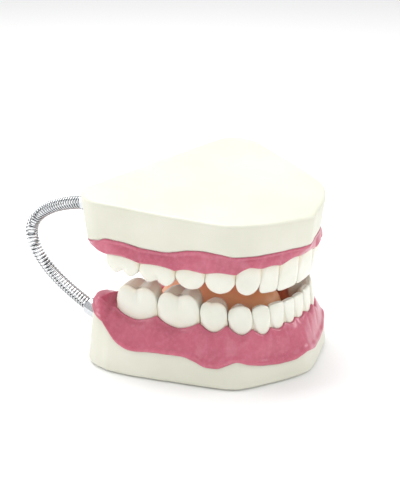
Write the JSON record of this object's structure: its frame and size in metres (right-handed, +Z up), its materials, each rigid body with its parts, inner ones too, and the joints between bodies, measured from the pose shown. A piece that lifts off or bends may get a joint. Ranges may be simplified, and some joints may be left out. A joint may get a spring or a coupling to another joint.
{
  "type": "typodont model",
  "caption": "Enlarged hinged dental arch model: two white bases with gums, separate teeth, tongue and palate, joined behind by bowed coil springs.",
  "frame": {"origin": "middle of the lower base's flat underside, which stands on the table", "axes": "+Z up out of the lower base; -Y out of the mouth through the incisors; +X towards the model's own left side; +Y back to the springs"},
  "size_m": [0.1406, 0.162, 0.0993],
  "materials": {
    "base_white": "smooth satin white casting",
    "gum_pink": "glossy pink gum, slightly uneven like wax",
    "tooth_enamel": "polished ivory white, warmer at the necks",
    "tongue_flesh": "smooth satin orange flesh",
    "palate_flesh": "smooth satin flesh with low ridges",
    "spring_chrome": "bright plated steel wire and ferrules"
  },
  "bodies": {
    "lower_jaw": {"lower_base": "base_white", "lower_gum": "gum_pink", "tongue": "tongue_flesh", "lower_right_central_incisor": "tooth_enamel", "lower_right_lateral_incisor": "tooth_enamel", "lower_right_canine": "tooth_enamel", "lower_right_first_premolar": "tooth_enamel", "lower_right_second_premolar": "tooth_enamel", "lower_right_first_molar": "tooth_enamel", "lower_right_second_molar": "tooth_enamel", "lower_left_central_incisor": "tooth_enamel", "lower_left_lateral_incisor": "tooth_enamel", "lower_left_canine": "tooth_enamel", "lower_left_first_premolar": "tooth_enamel", "lower_left_second_premolar": "tooth_enamel", "lower_left_first_molar": "tooth_enamel", "lower_left_second_molar": "tooth_enamel", "lower_right_ferrule": "spring_chrome", "lower_left_ferrule": "spring_chrome"},
    "springs": {"right_spring": "spring_chrome", "left_spring": "spring_chrome"},
    "upper_jaw": {"upper_base": "base_white", "upper_gum": "gum_pink", "palate": "palate_flesh", "upper_right_central_incisor": "tooth_enamel", "upper_right_lateral_incisor": "tooth_enamel", "upper_right_canine": "tooth_enamel", "upper_right_first_premolar": "tooth_enamel", "upper_right_second_premolar": "tooth_enamel", "upper_right_first_molar": "tooth_enamel", "upper_right_second_molar": "tooth_enamel", "upper_left_central_incisor": "tooth_enamel", "upper_left_lateral_incisor": "tooth_enamel", "upper_left_canine": "tooth_enamel", "upper_left_first_premolar": "tooth_enamel", "upper_left_second_premolar": "tooth_enamel", "upper_left_first_molar": "tooth_enamel", "upper_left_second_molar": "tooth_enamel", "upper_right_ferrule": "spring_chrome", "upper_left_ferrule": "spring_chrome"}
  },
  "joints": [
    {"name": "side_swing", "type": "hinge", "parent": "lower_jaw", "child": "springs", "pos_m": [0, 0.085, 0.057], "axis": [0, 0, 1], "range_deg": [-6, 6], "stiffness_Nm_per_rad": 1, "deforming": ["right_spring", "left_spring"]},
    {"name": "jaw_opening", "type": "hinge", "parent": "springs", "child": "upper_jaw", "pos_m": [0, 0.085, 0.057], "axis": [-1, 0, 0], "range_deg": [-1, 40], "stiffness_Nm_per_rad": 0.8, "springref_deg": 16.04, "deforming": ["right_spring", "left_spring"]}
  ]
}
